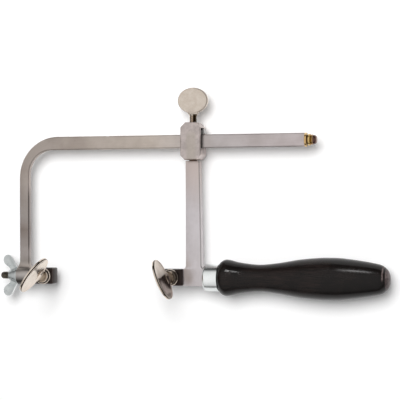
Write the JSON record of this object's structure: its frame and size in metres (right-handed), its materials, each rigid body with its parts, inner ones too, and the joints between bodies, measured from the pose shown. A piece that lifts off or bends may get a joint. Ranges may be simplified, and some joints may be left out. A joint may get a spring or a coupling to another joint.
{
  "type": "fret saw",
  "caption": "Adjustable fret saw frame: bent steel back bar, sliding leg with handle, blade clamps with thumb screws, wing nut tension screw.",
  "frame": {"origin": "on the blade line, where the ferrule ends and the wooden handle starts", "axes": "+X along the blade line towards the butt of the handle, +Y towards the back bar, +Z towards the side with the clamp screws"},
  "size_m": [0.2513, 0.1307, 0.0448],
  "materials": {
    "steel_satin": "satin, brushed along the bar",
    "steel_cast": "filed and tumbled, slightly mottled",
    "nickel_spade": "warm nickel plate, satin",
    "nickel_plate": "bright nickel",
    "ferrule_zinc": "bright, drawn tube",
    "wing_zinc": "dull zinc plate",
    "black_oxide": "black oxide, satin",
    "stud_black": "black oxide thread",
    "brass": "turned",
    "handle_wood": "black lacquer",
    "tang_steel": "raw"
  },
  "bodies": {
    "bow": {"bow": "steel_satin", "end_washer": "brass", "end_screw": "brass"},
    "slider": {"slider_block": "steel_cast", "slider_leg": "steel_satin", "handle_tang": "tang_steel", "ferrule": "ferrule_zinc", "handle": "handle_wood", "rear_jaw": "black_oxide"},
    "shoe": {"pressure_shoe": "tang_steel"},
    "slider_screw": {"slider_screw": "nickel_spade"},
    "rear_plate": {"rear_clamp_plate": "nickel_plate"},
    "rear_screw": {"rear_clamp_screw": "nickel_spade"},
    "front_jaw": {"front_jaw": "black_oxide", "tension_stud": "stud_black"},
    "wing_nut": {"wing_nut": "wing_zinc"},
    "front_plate": {"front_clamp_plate": "nickel_plate"},
    "front_screw": {"front_clamp_screw": "nickel_spade"}
  },
  "joints": [
    {"name": "slider_slide", "type": "slide", "parent": "bow", "child": "slider", "axis": [1, 0, 0], "range_m": [-0.055, 0.06]},
    {"name": "shoe_press", "type": "slide", "parent": "slider", "child": "shoe", "axis": [0, 1, 0], "range_m": [0, 0.00121]},
    {"name": "slider_screw_turn", "type": "hinge", "parent": "shoe", "child": "slider_screw", "pos_m": [-0.0167, 0.1, 0], "axis": [0, 1, 0], "range_deg": [0, 540]},
    {"name": "rear_plate_press", "type": "slide", "parent": "slider", "child": "rear_plate", "axis": [0, 0, 1], "range_m": [-0.00031, 0.00161]},
    {"name": "rear_screw_turn", "type": "hinge", "parent": "rear_plate", "child": "rear_screw", "pos_m": [-0.0301, 0, 0.007], "axis": [0, 0, 1], "range_deg": [-135, 720]},
    {"name": "jaw_tension", "type": "slide", "parent": "bow", "child": "front_jaw", "axis": [1, 0, 0], "range_m": [-0.00221, 0.00221]},
    {"name": "wing_nut_turn", "type": "hinge", "parent": "bow", "child": "wing_nut", "pos_m": [-0.1355, 0, 0], "axis": [1, 0, 0], "range_deg": [-990, 990]},
    {"name": "front_plate_press", "type": "slide", "parent": "front_jaw", "child": "front_plate", "axis": [0, 0, 1], "range_m": [-0.00031, 0.00161]},
    {"name": "front_screw_turn", "type": "hinge", "parent": "front_plate", "child": "front_screw", "pos_m": [-0.1149, 0, 0.007], "axis": [0, 0, 1], "range_deg": [-135, 720]}
  ],
  "couplings": [
    {"joint": "shoe_press", "follows": "slider_screw_turn", "m_per_rad": 0.00012732},
    {"joint": "rear_plate_press", "follows": "rear_screw_turn", "m_per_rad": 0.00012732},
    {"joint": "jaw_tension", "follows": "wing_nut_turn", "m_per_rad": -0.00012732},
    {"joint": "front_plate_press", "follows": "front_screw_turn", "m_per_rad": 0.00012732}
  ]
}
